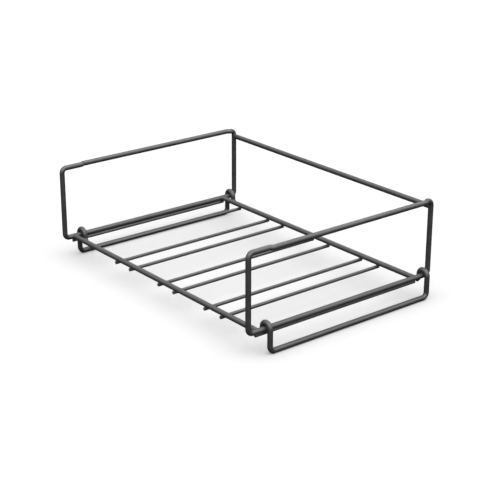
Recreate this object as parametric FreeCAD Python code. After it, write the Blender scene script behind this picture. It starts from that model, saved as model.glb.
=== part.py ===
import FreeCAD, Part
import math
import os

# Stackable wire wine rack, all lengths in millimetres.
# X runs across the rack, +Y to the back, +Z up. The bottles lie along Y with their necks to the front.
# The origin is on the floor, under the middle of the rack.

# ---- wire ----
FRAME_WIRE = 6.5            # diameter of the side frames, cross bars, back rail and feet
SLAT_WIRE = 4.3             # diameter of the slats that the bottles lie on

# ---- overall sizes ----
RACK_WIDTH = 376.0          # side frame axis to side frame axis
RACK_DEPTH = 278.0          # front upright axis to back upright axis
FRAME_HEIGHT = 94.0         # side bar axis to top bar axis
FOOT_DROP = 26.0            # side bar axis to foot bar axis

# ---- side frames ----
FRAME_BEND = 6.0            # centreline radius of the four corners
JOGGLE_OFFSET = 2.5         # how far the middle of the top bar stands outward of its ends
JOGGLE_ANGLE = 40.0         # slope of the joggle's short run, in degrees
JOGGLE_INNER_RADIUS = 0.5   # radius inside the joggle's two small bends
JOGGLE_FRONT = 29.6         # front upright axis to the front joggle's first corner
JOGGLE_BACK_FLAT = 0.3      # straight wire left between the back joggle and the corner bend

# ---- bars between the side frames ----
FRONT_BAR_SETBACK = 13.3    # front upright axis to the front cross bar
BACK_BAR_SETBACK = 21.5     # back upright axis to the back cross bar
RAIL_DROP = 7.8             # top bar axis to back rail axis

# ---- slats ----
BAY_COUNT = 4               # bottles side by side
BAY_WIDTH = 60.6            # slat to slat under one bottle
LEFT_MARGIN = 40.4          # left side frame axis to the first bay's left slat
LAST_BAY = 62.9             # last bay's left slat to the right side frame axis
SLAT_FRONT_OVERHANG = 2.8   # slat end beyond the axis of the front cross bar
SLAT_BACK_OVERHANG = 1.0    # slat end beyond the axis of the back cross bar
WELD_SINK = 0.3             # how far a slat is pressed into a cross bar by its weld
SLAT_END_ROUND = 0.4        # rounding of a slat's cut ends

# ---- feet ----
HOOK_CLEARANCE = 0.1        # radial running gap between a hook and the side bar inside it
HOOK_STOP_GAP = 0.3         # gap left between a foot and the edge slat that stops it
HOOK_DROP = 4.4             # side bar axis down to the corner where a hook's end flares inward
HOOK_FLARE_ANGLE = 40.0     # slope of the flared end away from straight down, in degrees
HOOK_FLARE_BEND = 5.0       # centreline radius of the corner above the flared end
HOOK_FLARE_LENGTH = 6.0     # corner to tip
HOOK_TIP_ROUND = 0.5        # rounding of a hook's cut end
FOOT_BEND = 6.0             # centreline radius of the foot's two bottom corners
FRONT_LEG_SETBACK = 25.7    # front upright axis to the foot's front leg
BACK_HOOK_GAP = 0.5         # gap between the back hook and the back upright or its bend

# ---- places that follow from those sizes ----
frame_radius = FRAME_WIRE / 2
slat_radius = SLAT_WIRE / 2
half_width = RACK_WIDTH / 2
front_y = -RACK_DEPTH / 2
back_y = RACK_DEPTH / 2
foot_bar_z = frame_radius
side_bar_z = foot_bar_z + FOOT_DROP
top_bar_z = side_bar_z + FRAME_HEIGHT
rail_z = top_bar_z - RAIL_DROP
front_bar_y = front_y + FRONT_BAR_SETBACK
back_bar_y = back_y - BACK_BAR_SETBACK
slat_drop = frame_radius + slat_radius - WELD_SINK
slat_z = side_bar_z - slat_drop
bay_pitch = (RACK_WIDTH - LEFT_MARGIN - LAST_BAY) / (BAY_COUNT - 1)
hook_radius = FRAME_WIRE + HOOK_CLEARANCE
flare_start = HOOK_DROP - HOOK_FLARE_BEND * math.tan(math.radians(HOOK_FLARE_ANGLE / 2))
stop_distance = frame_radius + slat_radius + HOOK_STOP_GAP
flare_to_slat = math.sqrt((HOOK_FLARE_BEND + stop_distance) ** 2 - (slat_drop - flare_start) ** 2)
edge_inset = hook_radius + HOOK_FLARE_BEND - flare_to_slat
front_leg_y = front_y + FRONT_LEG_SETBACK
back_leg_y = back_y - max(FRAME_BEND, FRAME_WIRE) - BACK_HOOK_GAP


def point(x, y, z):
    return FreeCAD.Vector(x, y, z)


def disc(centre, direction, radius):
    """Flat round face across a wire."""
    return Part.Face(Part.Wire([Part.makeCircle(radius, centre, direction)]))


def straight(start, end, radius):
    """Straight length of round wire."""
    return disc(start, end - start, radius).extrude(end - start)


def bend(start, direction, centre, angle, radius):
    """Round wire that leaves start along direction and turns by angle degrees about centre."""
    axis = (centre - start).cross(direction)
    return disc(start, direction, radius).revolve(centre, axis * -1, angle)


def bent_wire(corners, bends, radius, closed):
    """Round wire with a straight run between corners and an arc of its own radius at each one.

    The ends of an open wire are corners too, and take a bend of 0.
    """
    count = len(corners)
    entries = []
    exits = []
    pieces = []
    for i in range(count):
        corner = corners[i]
        if bends[i] == 0:
            entries.append(corner)
            exits.append(corner)
            continue
        arriving = (corner - corners[i - 1]).normalize()
        leaving = (corners[(i + 1) % count] - corner).normalize()
        turn = arriving.getAngle(leaving)
        tangent = bends[i] * math.tan(turn / 2)
        entry = corner - arriving * tangent
        inward = (leaving - arriving * math.cos(turn)).normalize()
        centre = entry + inward * bends[i]
        entries.append(entry)
        exits.append(corner + leaving * tangent)
        pieces.append(bend(entry, arriving, centre, math.degrees(turn), radius))
    for i in range(count if closed else count - 1):
        pieces.append(straight(exits[i], entries[(i + 1) % count], radius))
    return pieces[0].multiFuse(pieces[1:]).removeSplitter()


def round_end(wire, centre, amount):
    """Round the circular edge of a wire end that is centred on centre."""
    edges = [edge for edge in wire.Edges if is_circle_about(edge, centre)]
    return wire.makeFillet(amount, edges)


def is_circle_about(edge, centre):
    return isinstance(edge.Curve, Part.Circle) and edge.Curve.Center.distanceToPoint(centre) < 0.01


def side_frame(side):
    """Closed wire rectangle with the middle of its top bar joggled outward. side is -1 for left, 1 for right."""
    joggle_bend = frame_radius + JOGGLE_INNER_RADIUS
    slope = math.radians(JOGGLE_ANGLE)
    run = JOGGLE_OFFSET / math.tan(slope)
    back_inner = back_y - FRAME_BEND - JOGGLE_BACK_FLAT - joggle_bend * math.tan(slope / 2)
    front_inner = front_y + JOGGLE_FRONT
    plane = side * half_width
    jogged = side * (half_width + JOGGLE_OFFSET)
    corners = [
        point(plane, front_y, side_bar_z),
        point(plane, back_y, side_bar_z),
        point(plane, back_y, top_bar_z),
        point(plane, back_inner, top_bar_z),
        point(jogged, back_inner - run, top_bar_z),
        point(jogged, front_inner + run, top_bar_z),
        point(plane, front_inner, top_bar_z),
        point(plane, front_y, top_bar_z),
    ]
    bends = [FRAME_BEND] * 3 + [joggle_bend] * 4 + [FRAME_BEND]
    return bent_wire(corners, bends, frame_radius, True)


def cross_bar(y, z, side_frames):
    """Straight wire across the rack, its ends shaped to the side frames they are welded to."""
    bar = straight(point(-half_width, y, z), point(half_width, y, z), frame_radius)
    return bar.cut(side_frames)


def slat(x, welded_to):
    """Thin wire under the cross bars that a bottle lies on."""
    front_end = point(x, front_bar_y - SLAT_FRONT_OVERHANG, slat_z)
    back_end = point(x, back_bar_y + SLAT_BACK_OVERHANG, slat_z)
    wire = straight(front_end, back_end, slat_radius)
    wire = round_end(wire, front_end, SLAT_END_ROUND)
    wire = round_end(wire, back_end, SLAT_END_ROUND)
    return wire.cut(welded_to)


def bay_slat_places():
    """X of the slats at the sides of the bays; the last bay's right side is the edge slat."""
    places = []
    for bay in range(BAY_COUNT):
        left = -half_width + LEFT_MARGIN + bay * bay_pitch
        places.append(left)
        if bay < BAY_COUNT - 1:
            places.append(left + BAY_WIDTH)
    return places


def fold_limit():
    """Degrees that a foot swings inward until its front leg is at the edge slat."""
    lead = math.atan2(edge_inset, slat_drop)
    swing = math.asin((hook_radius - stop_distance) / math.hypot(edge_inset, slat_drop))
    return math.degrees(lead + swing)


def hook(side, y):
    """Wire bent over the side bar: up from the leg, over the top, down inside and flared out at its tip."""
    axis = point(side * half_width, y, side_bar_z)
    leg_top = axis + point(side * hook_radius, 0, 0)
    over = bend(leg_top, point(0, 0, 1), axis, 180, frame_radius)
    flare = math.radians(HOOK_FLARE_ANGLE)
    inner_top = axis - point(side * hook_radius, 0, 0)
    corner = inner_top - point(0, 0, HOOK_DROP)
    tip = corner - point(side * math.sin(flare), 0, math.cos(flare)) * HOOK_FLARE_LENGTH
    inner_leg = bent_wire([inner_top, corner, tip], [0, HOOK_FLARE_BEND, 0], frame_radius, False)
    return round_end(over.fuse(inner_leg).removeSplitter(), tip, HOOK_TIP_ROUND)


def foot_loop(side):
    """U of wire that stands on the floor and hangs from the side bar by a hook on each leg."""
    plane = side * (half_width + hook_radius)
    corners = [
        point(plane, front_leg_y, side_bar_z),
        point(plane, front_leg_y, foot_bar_z),
        point(plane, back_leg_y, foot_bar_z),
        point(plane, back_leg_y, side_bar_z),
    ]
    loop = bent_wire(corners, [0, FOOT_BEND, FOOT_BEND, 0], frame_radius, False)
    return loop.multiFuse([hook(side, front_leg_y), hook(side, back_leg_y)]).removeSplitter()


def build():
    """All pieces of the rack by name."""
    left_frame = side_frame(-1)
    right_frame = side_frame(1)
    frames = [left_frame, right_frame]
    front_bar = cross_bar(front_bar_y, side_bar_z, frames)
    back_bar = cross_bar(back_bar_y, side_bar_z, frames)
    welded = frames + [front_bar, back_bar]
    pieces = {
        "left_side_frame": left_frame,
        "right_side_frame": right_frame,
        "back_top_rail": cross_bar(back_y, rail_z, frames),
        "front_cross_bar": front_bar,
        "back_cross_bar": back_bar,
        "left_edge_slat": slat(-half_width + edge_inset, welded),
        "right_edge_slat": slat(half_width - edge_inset, welded),
        "left_foot_loop": foot_loop(-1),
        "right_foot_loop": foot_loop(1),
    }
    for number, x in enumerate(bay_slat_places(), start=1):
        pieces["bay_slat_%d" % number] = slat(x, welded)
    return pieces


os.makedirs("parts", exist_ok=True)
for name, shape in build().items():
    shape.exportStep("parts/%s.step" % name)
print("each foot folds inward by up to %.1f degrees" % fold_limit())
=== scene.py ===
import math

import bmesh
import bpy
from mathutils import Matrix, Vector, noise


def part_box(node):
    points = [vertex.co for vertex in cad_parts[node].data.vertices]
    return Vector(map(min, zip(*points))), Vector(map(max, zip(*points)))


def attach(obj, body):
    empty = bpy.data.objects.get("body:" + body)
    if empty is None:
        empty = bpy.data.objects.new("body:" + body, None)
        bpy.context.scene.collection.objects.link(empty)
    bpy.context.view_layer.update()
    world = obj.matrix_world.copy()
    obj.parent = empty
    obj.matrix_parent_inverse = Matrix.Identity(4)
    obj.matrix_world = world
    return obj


# Wine rack of black powder-coated wire. Metres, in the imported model's frame: X across the bottles, +Y to the
# back, +Z up, origin on the floor under the middle of the rack.

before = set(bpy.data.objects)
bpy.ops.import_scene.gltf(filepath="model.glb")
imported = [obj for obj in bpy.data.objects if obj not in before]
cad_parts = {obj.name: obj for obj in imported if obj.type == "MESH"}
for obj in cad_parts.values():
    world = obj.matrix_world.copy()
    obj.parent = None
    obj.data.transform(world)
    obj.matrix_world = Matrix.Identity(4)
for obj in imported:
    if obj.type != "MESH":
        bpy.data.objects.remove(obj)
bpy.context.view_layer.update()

# ---- camera ----
CAMERA_AZIMUTH = 51.4       # degrees from straight on towards +X
CAMERA_ELEVATION = 20.93    # degrees above the horizon
CAMERA_DISTANCE = 1.655
CAMERA_TARGET = Vector((0.0033, -0.0029, 0.0514))
CAMERA_LENS = 100.0         # millimetres on a 36 mm sensor
CAMERA_CLIP = (0.05, 60.0)

# ---- studio ----
FLOOR_SIDE = 40.0
FLOOR_WHITE = 0.36          # floor's whiteness as it is seen
FLOOR_BOUNCE = 0.02         # floor's whiteness as the wires reflect it, which keeps their undersides dark
# Brightness at heights from 0, straight down, over 0.5, the horizon, to 1, overhead.
DOME_LEVELS = ((0.0, 0.05), (0.49, 0.1), (0.53, 0.8), (0.74, 2.4), (0.9, 4.8), (1.0, 4.8))
DOME_SIDE = Vector((0.85, -0.35, 0.0))     # the dome is brighter towards this side
DOME_SIDE_GAIN = 0.8        # about how much brighter it is there, and darker opposite, as a share

# ---- welds ----
BAR_WELD = 0.0009           # rolling radius of the weld where a cross bar ends on a side bar
RAIL_WELD = 0.0006          # rolling radius of the weld where the rail ends on an upright, under its bend
CROSSING_WELD = 0.0005      # rolling radius of the weld where a slat crosses under a bar
WELD_WANDER = 0.22          # how much a weld's radius varies along it, as a share
WELD_STEPS = 48             # sections along a weld
WELD_FACE_STEPS = 6         # points across a weld's face
WELD_DEPTH = 0.0004         # how deep the hidden side of a weld lies inside the wires
CORNER_SWEEP = 88.0         # degrees above and below the bar's middle that a corner weld reaches
FRONT_SHRINK = 0.45         # how much smaller a front crossing weld is at the slat's cut end, as a share
BACK_SWEEP = (72.0, 288.0)  # degrees round a slat of a back crossing weld, which leaves the slat's end bare
BACK_TAPER = 30.0           # degrees over which that weld thins out at both ends
BACK_THIN = 0.3             # thickness left at those ends, as a share
CROSSING_CORE = 0.3         # how far in the hidden middle of a crossing weld lies, as a share of its reach

# ---- coat ----
COAT_DARK = (0.014, 0.014, 0.0145, 1.0)
COAT_LIGHT = (0.024, 0.024, 0.0245, 1.0)
COAT_RUBBED = (0.075, 0.074, 0.073, 1.0)
MOTTLE_NOISE = (70.0, 3.0)         # each noise: scale per metre, detail, roughness
PEEL_NOISE = (1150.0, 2.0, 0.55)
GRAIN_NOISE = (4200.0, 1.0)
DRIFT_NOISE = (14.0, 2.0)
RAGGED_NOISE = (420.0, 4.0, 0.7)
WELD_NOISE = (260.0, 2.0)
NIB_SCALE = 330.0                  # cells per metre in which a dust nib can lie
NIB_REACH = 0.075                  # radius of a nib, in cells
NIB_ABOVE = 0.62                   # cells with a random value above this have a nib
GRAIN_BUMP = (0.22, 0.00006)       # each bump: strength, height
PEEL_BUMP = (0.5, 0.00016)
NIB_BUMP = (0.6, 0.00012)
GLOSS_DRIFT = (0.37, 0.45)         # lowest and highest roughness of the coat
GLOSS_GRAIN = (-0.03, 0.05)        # what the grain adds to it
GLOSS_RUBBED = 0.07                # what rubbing takes from it
COAT_SPECULAR = 0.6

# ---- rubbed places ----
TOP_RUB_DEPTH = 0.0012             # below the top of a side frame
TOP_RUB = 0.75                     # how far the coat is rubbed there, as a share
HOOK_RUB_WIDTH = 0.005             # along the side bar, from the middle of a hook
HOOK_RUB_HEIGHT = 0.008            # above and below the side bar's middle
BAR_RUB_DEPTH = 0.001              # below the top of a cross bar or the rail
BAR_RUB = 0.5
SLAT_END_RUB = 0.0009              # from a slat's cut end
SLAT_RUB_ABOVE = 0.0012            # above a slat's middle
SLAT_RUB = 0.4
FOOT_RUB = (0.0014, 0.0002)        # heights where the rubbing starts and where it is full
WELD_RUB = 0.35


# ---------------------------------------------------------------- places read from the frame

def wire_axis(node):
    """Middle of a node's box."""
    low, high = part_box(node)
    return (Vector(low) + Vector(high)) / 2


def thickness(node, along):
    """Size of a node's box along X, Y or Z (0, 1 or 2)."""
    low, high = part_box(node)
    return high[along] - low[along]


BAY_SLATS = sorted(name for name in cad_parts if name.startswith("bay_slat_"))
EDGE_SLATS = ["left_edge_slat", "right_edge_slat"]
SIDE_FRAMES = ["left_side_frame", "right_side_frame"]
FEET = ["left_foot_loop", "right_foot_loop"]
BARS = ["front_cross_bar", "back_cross_bar", "back_top_rail"]

frame_radius = thickness("front_cross_bar", 2) / 2
slat_radius = thickness("bay_slat_1", 0) / 2
right_frame_low, right_frame_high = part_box("right_side_frame")
side_x = right_frame_low[0] + frame_radius
front_bar = wire_axis("front_cross_bar")
back_bar = wire_axis("back_cross_bar")
rail = wire_axis("back_top_rail")
slat_drop = front_bar.z - wire_axis("bay_slat_1").z
top_z = right_frame_high[2]
slat_low, slat_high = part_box("bay_slat_1")
slat_front = slat_low[1]
slat_back = slat_high[1]
foot_low, foot_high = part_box("right_foot_loop")
front_hook_y = foot_low[1] + frame_radius
back_hook_y = foot_high[1] - frame_radius


# ---------------------------------------------------------------- nodes of a material

class Tree:
    """Short hand for adding and joining shader nodes."""

    def __init__(self, tree):
        self.tree = tree
        tree.nodes.clear()

    def node(self, kind, **settings):
        made = self.tree.nodes.new(kind)
        for name, value in settings.items():
            setattr(made, name, value)
        return made

    def link(self, source, target):
        self.tree.links.new(source, target)

    def noise(self, place, scale, detail=2.0, roughness=0.5):
        made = self.node("ShaderNodeTexNoise")
        made.inputs["Scale"].default_value = scale
        made.inputs["Detail"].default_value = detail
        made.inputs["Roughness"].default_value = roughness
        self.link(place, made.inputs["Vector"])
        return made.outputs["Fac"]

    def specks(self, place, scale, reach, above):
        """Round bumps in the cells with a random value above a limit."""
        made = self.node("ShaderNodeTexVoronoi")
        made.inputs["Scale"].default_value = scale
        self.link(place, made.inputs["Vector"])
        chosen = self.math("GREATER_THAN", made.outputs["Color"], above)
        return self.math("MULTIPLY", self.remap(made.outputs["Distance"], reach, 0.0), chosen)

    def remap(self, value, low, high, new_low=0.0, new_high=1.0):
        made = self.node("ShaderNodeMapRange")
        self.link(value, made.inputs["Value"])
        made.inputs["From Min"].default_value = low
        made.inputs["From Max"].default_value = high
        made.inputs["To Min"].default_value = new_low
        made.inputs["To Max"].default_value = new_high
        return made.outputs["Result"]

    def math(self, operation, a, b=0.0):
        made = self.node("ShaderNodeMath", operation=operation)
        for socket, value in zip(made.inputs, (a, b)):
            if isinstance(value, (int, float)):
                socket.default_value = value
            else:
                self.link(value, socket)
        return made.outputs[0]

    def bump(self, height, strength, distance, under=None):
        made = self.node("ShaderNodeBump")
        made.inputs["Strength"].default_value = strength
        made.inputs["Distance"].default_value = distance
        self.link(height, made.inputs["Height"])
        if under is not None:
            self.link(under, made.inputs["Normal"])
        return made.outputs["Normal"]

    def mix(self, factor, a, b):
        made = self.node("ShaderNodeMix", data_type="RGBA")
        self.link(factor, made.inputs["Factor"])
        for socket, value in ((made.inputs["A"], a), (made.inputs["B"], b)):
            if isinstance(value, tuple):
                socket.default_value = value
            else:
                self.link(value, socket)
        return made.outputs["Result"]


def near(tree, value, centre, reach):
    """1 at centre, falling to 0 at reach away from it."""
    away = tree.math("ABSOLUTE", tree.math("SUBTRACT", value, centre))
    return tree.remap(away, reach, 0.0)


def powder_coat(name, seed, rubbed):
    """Satin black powder coat: fine orange peel, faint mottling, dust nibs and lighter rubbed places."""
    material = bpy.data.materials.new(name)
    material.use_nodes = True
    t = Tree(material.node_tree)
    place = t.node("ShaderNodeTexCoord").outputs["Object"]
    moved = t.node("ShaderNodeVectorMath", operation="ADD")
    t.link(place, moved.inputs[0])
    moved.inputs[1].default_value = (seed, seed * 0.7, seed * 1.3)
    spot = moved.outputs["Vector"]
    mottle = t.noise(spot, *MOTTLE_NOISE)
    peel = t.noise(spot, *PEEL_NOISE)
    grain = t.noise(spot, *GRAIN_NOISE)
    drift = t.noise(spot, *DRIFT_NOISE)
    nib = t.specks(spot, NIB_SCALE, NIB_REACH, NIB_ABOVE)
    xyz = t.node("ShaderNodeSeparateXYZ")
    t.link(place, xyz.inputs[0])
    patch = rubbed(t, xyz.outputs)
    ragged = t.math("MULTIPLY", patch, t.remap(t.noise(spot, *RAGGED_NOISE), 0.42, 0.62))
    colour = t.mix(t.remap(mottle, 0.3, 0.7), COAT_DARK, COAT_LIGHT)
    colour = t.mix(ragged, colour, COAT_RUBBED)
    gloss = t.remap(drift, 0.3, 0.7, *GLOSS_DRIFT)
    gloss = t.math("ADD", gloss, t.remap(grain, 0.3, 0.8, *GLOSS_GRAIN))
    gloss = t.math("SUBTRACT", gloss, t.math("MULTIPLY", patch, GLOSS_RUBBED))
    bump = t.bump(grain, *GRAIN_BUMP)
    bump = t.bump(peel, *PEEL_BUMP, bump)
    bump = t.bump(nib, *NIB_BUMP, bump)
    shader = t.node("ShaderNodeBsdfPrincipled")
    shader.inputs["Metallic"].default_value = 0.0
    shader.inputs["IOR"].default_value = 1.5
    shader.inputs["Specular IOR Level"].default_value = COAT_SPECULAR
    t.link(colour, shader.inputs["Base Color"])
    t.link(gloss, shader.inputs["Roughness"])
    t.link(bump, shader.inputs["Normal"])
    out = t.node("ShaderNodeOutputMaterial")
    t.link(shader.outputs[0], out.inputs["Surface"])
    return material


def rubbed_side_frame(t, xyz):
    """Worn along the top, where a rack stacked on this one slides, and under the hooks of the feet."""
    top = t.remap(xyz["Z"], top_z - TOP_RUB_DEPTH, top_z, 0.0, TOP_RUB)
    front_hook = near(t, xyz["Y"], front_hook_y, HOOK_RUB_WIDTH)
    back_hook = near(t, xyz["Y"], back_hook_y, HOOK_RUB_WIDTH)
    hooks = t.math("MAXIMUM", front_hook, back_hook)
    bar = near(t, xyz["Z"], front_bar.z, HOOK_RUB_HEIGHT)
    return t.math("MAXIMUM", top, t.math("MULTIPLY", hooks, bar))


def rubbed_bar(t, xyz):
    """Worn along the top: bottles are pushed over the cross bars and lean on the rail."""
    over_bars = near(t, xyz["Z"], front_bar.z + frame_radius, BAR_RUB_DEPTH)
    over_rail = near(t, xyz["Z"], rail.z + frame_radius, BAR_RUB_DEPTH)
    return t.math("MULTIPLY", t.math("MAXIMUM", over_bars, over_rail), BAR_RUB)


def rubbed_slat(t, xyz):
    """Thin coat on the cut ends and on the top, where bottles lie."""
    front_end = near(t, xyz["Y"], slat_front, SLAT_END_RUB)
    back_end = near(t, xyz["Y"], slat_back, SLAT_END_RUB)
    ends = t.math("MAXIMUM", front_end, back_end)
    slat_z = front_bar.z - slat_drop
    top = t.remap(xyz["Z"], slat_z + SLAT_RUB_ABOVE, slat_z + slat_radius, 0.0, SLAT_RUB)
    return t.math("MAXIMUM", ends, top)


def rubbed_foot(t, xyz):
    """Worn through the gloss where the foot stands."""
    return t.remap(xyz["Z"], *FOOT_RUB)


def rubbed_weld(t, xyz):
    """Uneven coat over the weld metal."""
    place = t.node("ShaderNodeTexCoord").outputs["Object"]
    return t.remap(t.noise(place, *WELD_NOISE), 0.45, 0.75, 0.0, WELD_RUB)


def give(nodes, material):
    """One material for all of these nodes."""
    for node in nodes:
        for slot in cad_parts[node].material_slots:
            slot.material = material


# ---------------------------------------------------------------- welds

def wander(seed, x, y):
    """Uneven thickness along a weld, about 1."""
    return 1.0 + WELD_WANDER * noise.noise(Vector((seed * 7.31 + 0.5, x * 1.7, y * 1.7)))


def outline(ball, touch_a, touch_b, inside):
    """Closed outline across a weld: the face that a ball rolls between two wires, then back inside them."""
    arm_a = touch_a - ball
    arm_b = touch_b - ball
    points = []
    for step in range(WELD_FACE_STEPS + 1):
        arm = arm_a.lerp(arm_b, step / WELD_FACE_STEPS)
        points.append(ball + arm.normalized() * arm_a.length)
    return points + inside


def skin(bm, sections, closed):
    """Quads through outlines of equally many points. Flat ends close an open run."""
    rings = []
    for section in sections:
        rings.append([bm.verts.new(point) for point in section])
    pairs = list(zip(rings, rings[1:]))
    if closed:
        pairs.append((rings[-1], rings[0]))
    else:
        bm.faces.new(rings[0])
        bm.faces.new(rings[-1][::-1])
    for first, second in pairs:
        for i in range(len(first)):
            before = i - 1
            face = bm.faces.new((first[before], first[i], second[i], second[before]))
            face.smooth = True


def corner_weld(bm, centre, bar, side, size, seed):
    """Weld on both flanks of a bar that leaves centre along bar, from a wire of the same size along side."""
    up = bar.cross(side)
    for flank in (-1, 1):
        sections = []
        for step in range(WELD_STEPS + 1):
            angle = math.radians(CORNER_SWEEP * (2 * step / WELD_STEPS - 1))
            reach = frame_radius + size * wander(seed * flank, math.cos(angle), math.sin(angle))
            inner = frame_radius - WELD_DEPTH

            def at(along_side, along_bar, high):
                level = side * (flank * along_side) + bar * along_bar
                return centre + level * math.cos(angle) + up * (high * math.sin(angle))

            ball = at(reach, reach, reach)
            on_side = at(reach, frame_radius, frame_radius)
            on_bar = at(frame_radius, reach, frame_radius)
            inside = [at(inner, reach, inner), at(inner, inner, inner), at(reach, inner, inner)]
            sections.append(outline(ball, on_side, on_bar, inside))
        skin(bm, sections, False)


def crossing_section(centre, angle, radius):
    """Outline of the weld at one angle round a slat that crosses under a bar; angle 0 is its back."""
    bar_reach = frame_radius + radius
    slat_reach = slat_radius + radius
    highest = slat_reach - slat_drop
    lowest = -bar_reach
    z = (highest + lowest) / 2 + (highest - lowest) / 2 * math.cos(2 * angle)
    x = math.copysign(math.sqrt(max(0.0, slat_reach ** 2 - (z + slat_drop) ** 2)), math.sin(angle))
    y = math.copysign(math.sqrt(max(0.0, bar_reach ** 2 - z ** 2)), math.cos(angle))

    def on_bar(distance):
        return centre + Vector((x, y * distance / bar_reach, z * distance / bar_reach))

    def on_slat(distance):
        share = distance / slat_reach
        return centre + Vector((x * share, y, (z + slat_drop) * share - slat_drop))

    core_x = x * CROSSING_CORE
    core_y = y * CROSSING_CORE
    bar_bottom = -math.sqrt(frame_radius ** 2 - core_y ** 2)
    slat_top = math.sqrt(slat_radius ** 2 - core_x ** 2) - slat_drop
    core = centre + Vector((core_x, core_y, (bar_bottom + slat_top) / 2))
    inside = [on_slat(slat_radius - WELD_DEPTH), core, on_bar(frame_radius - WELD_DEPTH)]
    return outline(centre + Vector((x, y, z)), on_bar(frame_radius), on_slat(slat_radius), inside)


def front_crossing(bm, centre, seed):
    """Weld all round a slat under the front bar, smaller towards the slat's cut end."""
    sections = []
    for step in range(WELD_STEPS):
        angle = 2 * math.pi * step / WELD_STEPS
        share = 1.0 - FRONT_SHRINK * max(0.0, -math.cos(angle))
        radius = CROSSING_WELD * share * wander(seed, math.cos(angle), math.sin(angle))
        sections.append(crossing_section(centre, angle, radius))
    skin(bm, sections, True)


def back_crossing(bm, centre, seed):
    """Weld round the front of a slat under the back bar, thinning out before the slat's cut end."""
    start, end = BACK_SWEEP
    sections = []
    for step in range(WELD_STEPS + 1):
        degrees = start + (end - start) * step / WELD_STEPS
        angle = math.radians(degrees)
        ease = min(1.0, (degrees - start) / BACK_TAPER, (end - degrees) / BACK_TAPER)
        share = BACK_THIN + (1.0 - BACK_THIN) * math.sin(ease * math.pi / 2)
        radius = CROSSING_WELD * share * wander(seed, math.cos(angle), math.sin(angle))
        sections.append(crossing_section(centre, angle, radius))
    skin(bm, sections, False)


def weld_piece(name, material, bm):
    """Finished piece of weld metal, fixed to the rack."""
    bmesh.ops.recalc_face_normals(bm, faces=bm.faces)
    mesh = bpy.data.meshes.new(name)
    bm.to_mesh(mesh)
    bm.free()
    mesh.materials.append(material)
    made = bpy.data.objects.new(name, mesh)
    bpy.context.scene.collection.objects.link(made)
    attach(made, "rack")


def corner_pair(bm, bar, side, size, seed):
    """Corner welds at both ends of a bar whose middle is at bar, on wires along side."""
    for end in (-1, 1):
        centre = Vector((end * side_x, bar.y, bar.z))
        corner_weld(bm, centre, Vector((-end, 0, 0)), side, size, seed + end * 0.5)


def welds(material):
    """All weld metal, in one piece for each bar."""
    along_y = Vector((0, 1, 0))
    along_z = Vector((0, 0, 1))
    front = bmesh.new()
    back = bmesh.new()
    top = bmesh.new()
    corner_pair(front, front_bar, along_y, BAR_WELD, 1)
    corner_pair(back, back_bar, along_y, BAR_WELD, 3)
    corner_pair(top, rail, along_z, RAIL_WELD, 5)
    for number, slat in enumerate(BAY_SLATS):
        x = wire_axis(slat).x
        front_crossing(front, Vector((x, front_bar.y, front_bar.z)), 10 + number)
        back_crossing(back, Vector((x, back_bar.y, back_bar.z)), 30 + number)
    weld_piece("front_bar_welds", material, front)
    weld_piece("back_bar_welds", material, back)
    weld_piece("rail_welds", material, top)


# ---------------------------------------------------------------- studio

def camera():
    data = bpy.data.cameras.new("camera")
    data.lens = CAMERA_LENS
    data.clip_start = CAMERA_CLIP[0]
    data.clip_end = CAMERA_CLIP[1]
    made = bpy.data.objects.new("camera", data)
    azimuth = math.radians(CAMERA_AZIMUTH)
    elevation = math.radians(CAMERA_ELEVATION)
    level = math.cos(elevation)
    back = Vector((math.sin(azimuth) * level, -math.cos(azimuth) * level, math.sin(elevation)))
    made.location = CAMERA_TARGET + back * CAMERA_DISTANCE
    made.rotation_mode = "QUATERNION"
    made.rotation_quaternion = (-back).to_track_quat("-Z", "Y")
    bpy.context.scene.collection.objects.link(made)
    bpy.context.scene.camera = made


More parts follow.
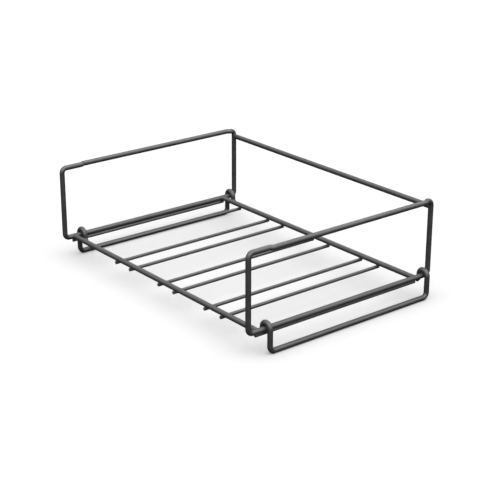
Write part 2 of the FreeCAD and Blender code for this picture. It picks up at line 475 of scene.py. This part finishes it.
def dome():
    """White behind everything that is seen; as a light, a soft tent that is brightest overhead."""
    world = bpy.data.worlds.new("studio")
    world.use_nodes = True
    t = Tree(world.node_tree)
    way = t.node("ShaderNodeTexCoord").outputs["Generated"]
    xyz = t.node("ShaderNodeSeparateXYZ")
    t.link(way, xyz.inputs[0])
    ramp = t.node("ShaderNodeValToRGB")
    ramp.color_ramp.interpolation = "EASE"
    while len(ramp.color_ramp.elements) < len(DOME_LEVELS):
        ramp.color_ramp.elements.new(0.5)
    top = max(level for height, level in DOME_LEVELS)
    for stop, (height, level) in zip(ramp.color_ramp.elements, DOME_LEVELS):
        stop.position = height
        stop.color = (level / top, level / top, level / top, 1.0)
    t.link(t.remap(xyz.outputs["Z"], -1.0, 1.0), ramp.inputs[0])
    side = t.node("ShaderNodeVectorMath", operation="DOT_PRODUCT")
    t.link(way, side.inputs[0])
    side.inputs[1].default_value = DOME_SIDE
    gain = t.remap(side.outputs["Value"], -1.0, 1.0, 1.0 - DOME_SIDE_GAIN, 1.0 + DOME_SIDE_GAIN)
    strength = t.math("MULTIPLY", t.math("MULTIPLY", ramp.outputs["Color"], gain), top)
    seen = t.node("ShaderNodeLightPath").outputs["Is Camera Ray"]
    light = t.node("ShaderNodeBackground")
    t.link(strength, light.inputs["Strength"])
    white = t.node("ShaderNodeBackground")
    both = t.node("ShaderNodeMixShader")
    t.link(seen, both.inputs["Fac"])
    t.link(light.outputs[0], both.inputs[1])
    t.link(white.outputs[0], both.inputs[2])
    white.inputs["Color"].default_value = (1.0, 1.0, 1.0, 1.0)
    out = t.node("ShaderNodeOutputWorld")
    t.link(both.outputs[0], out.inputs["Surface"])
    bpy.context.scene.world = world


def matte(t, whiteness):
    shader = t.node("ShaderNodeBsdfDiffuse")
    shader.inputs["Color"].default_value = (whiteness, whiteness, whiteness, 1.0)
    return shader.outputs[0]


def floor():
    mesh = bpy.data.meshes.new("floor")
    half = FLOOR_SIDE / 2
    corners = [(-half, -half, 0), (half, -half, 0), (half, half, 0), (-half, half, 0)]
    mesh.from_pydata(corners, [], [(0, 1, 2, 3)])
    made = bpy.data.objects.new("floor", mesh)
    bpy.context.scene.collection.objects.link(made)
    material = bpy.data.materials.new("floor_paper")
    material.use_nodes = True
    t = Tree(material.node_tree)
    both = t.node("ShaderNodeMixShader")
    t.link(t.node("ShaderNodeLightPath").outputs["Is Camera Ray"], both.inputs["Fac"])
    t.link(matte(t, FLOOR_BOUNCE), both.inputs[1])
    t.link(matte(t, FLOOR_WHITE), both.inputs[2])
    out = t.node("ShaderNodeOutputMaterial")
    t.link(both.outputs[0], out.inputs["Surface"])
    mesh.materials.append(material)


camera()
dome()
floor()
bpy.context.scene.view_settings.view_transform = "Standard"

give(SIDE_FRAMES, powder_coat("coat_side_frames", 0.0, rubbed_side_frame))
give(BARS, powder_coat("coat_bars", 1.9, rubbed_bar))
give(BAY_SLATS + EDGE_SLATS, powder_coat("coat_slats", 4.1, rubbed_slat))
give(FEET, powder_coat("coat_feet", 6.7, rubbed_foot))
welds(powder_coat("coat_welds", 9.2, rubbed_weld))
